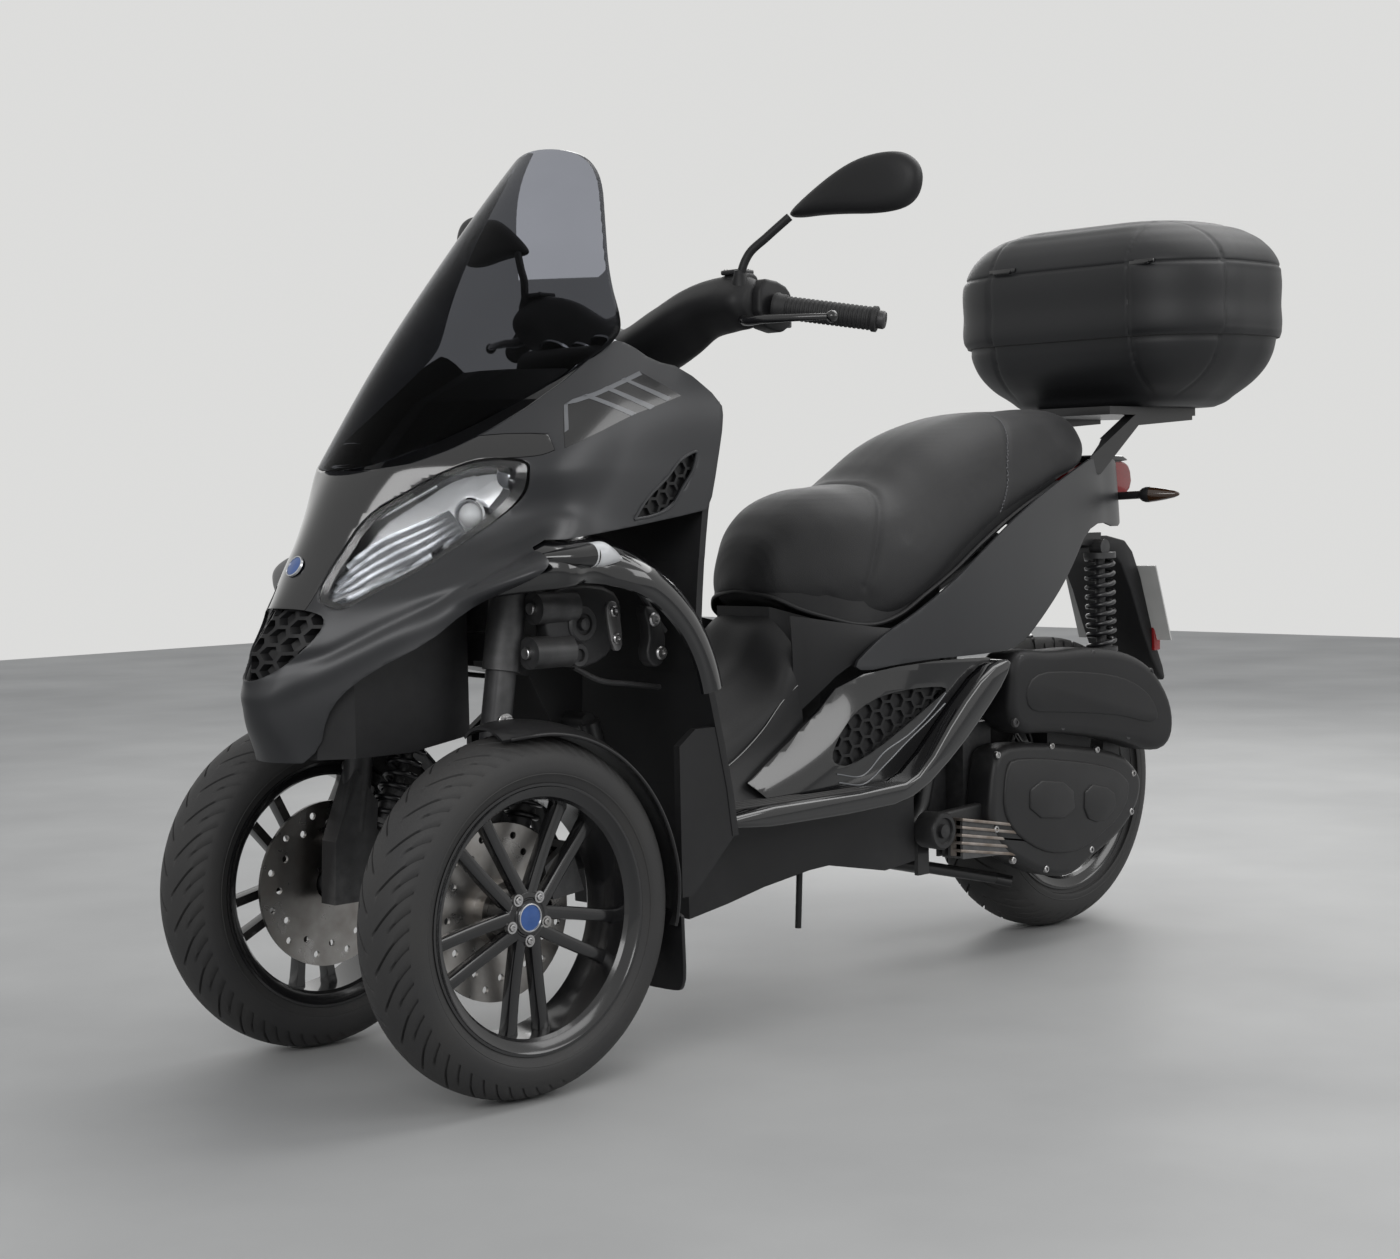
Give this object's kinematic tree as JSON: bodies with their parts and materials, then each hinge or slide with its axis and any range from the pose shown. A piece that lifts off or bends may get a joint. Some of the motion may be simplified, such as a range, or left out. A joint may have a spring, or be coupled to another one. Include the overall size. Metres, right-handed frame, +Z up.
{
  "type": "three-wheeled motor scooter",
  "caption": "Tilting motor scooter with two steered front wheels, tall smoked screen, step-through floor, stepped seat and a rear top case.",
  "frame": {"origin": "on the floor under the middle of the outline", "axes": "+X to the rider's left, +Y to the rear, +Z up"},
  "size_m": [1.0202, 2.152, 1.2969],
  "materials": {
    "body_paint": "satin black paint",
    "gloss_black": "polished black",
    "black_plastic": "grained black",
    "case_plastic": "fine grained black",
    "tyre": "worn rubber",
    "wheel_black": "gloss black",
    "disc_steel": "ground, with a rubbed band",
    "cast_alloy": "as cast",
    "spring_black": "satin",
    "frame_black": "satin",
    "engine_black": "satin",
    "exhaust_black": "heat-proof matt",
    "grip_rubber": "ribbed",
    "seat_cover": "grained vinyl",
    "smoked_screen": "smoked, clear",
    "clear_lens": "clear",
    "lamp_chrome": "bright reflector",
    "red_lens": "clear red",
    "plate_white": null
  },
  "bodies": {
    "root": {"air_box": "black_plastic", "belly": "black_plastic", "case_tub": "case_plastic", "dashboard": "black_plastic", "engine": "cast_alloy", "exhaust": "exhaust_black", "floorboards": "black_plastic", "frame": "frame_black", "front_cowl": "body_paint", "headlamp_bowls": "lamp_chrome", "headlamp_lenses": "clear_lens", "indicators": "clear_lens", "inner_liner": "black_plastic", "leg_shield": "black_plastic", "lower_covers": "gloss_black", "nose_beak": "gloss_black", "nose_grille": "black_plastic", "number_plate": "plate_white", "rack": "frame_black", "rear_mudguard": "black_plastic", "rear_shocks": "spring_black", "side_panels": "body_paint", "storage_bin": "black_plastic", "tail_lamp": "red_lens", "tilt_arms": "cast_alloy", "transmission": "engine_black", "tunnel": "black_plastic", "vent_grilles": "black_plastic", "wheel_arches": "black_plastic", "windscreen": "smoked_screen"},
    "handlebar": {"handlebar": "black_plastic", "grips": "grip_rubber", "levers": "wheel_black", "mirrors": "black_plastic"},
    "knuckle_left": {"knuckle_left": "cast_alloy", "shock_left": "spring_black", "fender_left": "black_plastic"},
    "knuckle_right": {"knuckle_right": "cast_alloy", "shock_right": "spring_black", "fender_right": "black_plastic"},
    "wheel_front_left": {"tyre_front_left": "tyre", "rim_front_left": "wheel_black", "disc_left": "disc_steel"},
    "wheel_front_right": {"tyre_front_right": "tyre", "rim_front_right": "wheel_black", "disc_right": "disc_steel"},
    "wheel_rear": {"tyre_rear": "tyre", "rim_rear": "wheel_black"},
    "seat": {"seat": "seat_cover"},
    "case_lid": {"case_lid": "case_plastic"},
    "centre_stand": {"centre_stand": "frame_black"}
  },
  "joints": [
    {"name": "steering", "type": "hinge", "parent": "root", "child": "handlebar", "pos_m": [0, -0.39, 1.035], "axis": [0, 0.454, 0.891], "range_deg": [-38, 38]},
    {"name": "kingpin_left", "type": "hinge", "parent": "root", "child": "knuckle_left", "pos_m": [0.15, -0.82, 0.242], "axis": [0, 0.1564, 0.9877], "range_deg": [-38, 38]},
    {"name": "kingpin_right", "type": "hinge", "parent": "root", "child": "knuckle_right", "pos_m": [-0.15, -0.82, 0.242], "axis": [0, 0.1564, 0.9877], "range_deg": [-38, 38]},
    {"name": "front_left_spin", "type": "hinge", "parent": "knuckle_left", "child": "wheel_front_left", "pos_m": [0.2325, -0.82, 0.242], "axis": [1, 0, 0], "continuous": true},
    {"name": "front_right_spin", "type": "hinge", "parent": "knuckle_right", "child": "wheel_front_right", "pos_m": [-0.2325, -0.82, 0.242], "axis": [1, 0, 0], "continuous": true},
    {"name": "rear_spin", "type": "hinge", "parent": "root", "child": "wheel_rear", "pos_m": [0, 0.62, 0.262], "axis": [1, 0, 0], "continuous": true},
    {"name": "seat_hinge", "type": "hinge", "parent": "root", "child": "seat", "pos_m": [0, -0.156, 0.612], "axis": [1, 0, 0], "range_deg": [0, 60]},
    {"name": "lid_hinge", "type": "hinge", "parent": "root", "child": "case_lid", "pos_m": [0, 0.678, 1.061], "axis": [1, 0, 0], "range_deg": [0, 75]},
    {"name": "stand_pivot", "type": "hinge", "parent": "root", "child": "centre_stand", "pos_m": [0, 0.18, 0.168], "axis": [-1, 0, 0], "range_deg": [0, 80], "stiffness_Nm_per_rad": 4, "springref_deg": -114.59}
  ],
  "couplings": [
    {"joint": "kingpin_left", "follows": "steering", "ratio": 1},
    {"joint": "kingpin_right", "follows": "steering", "ratio": 1}
  ]
}
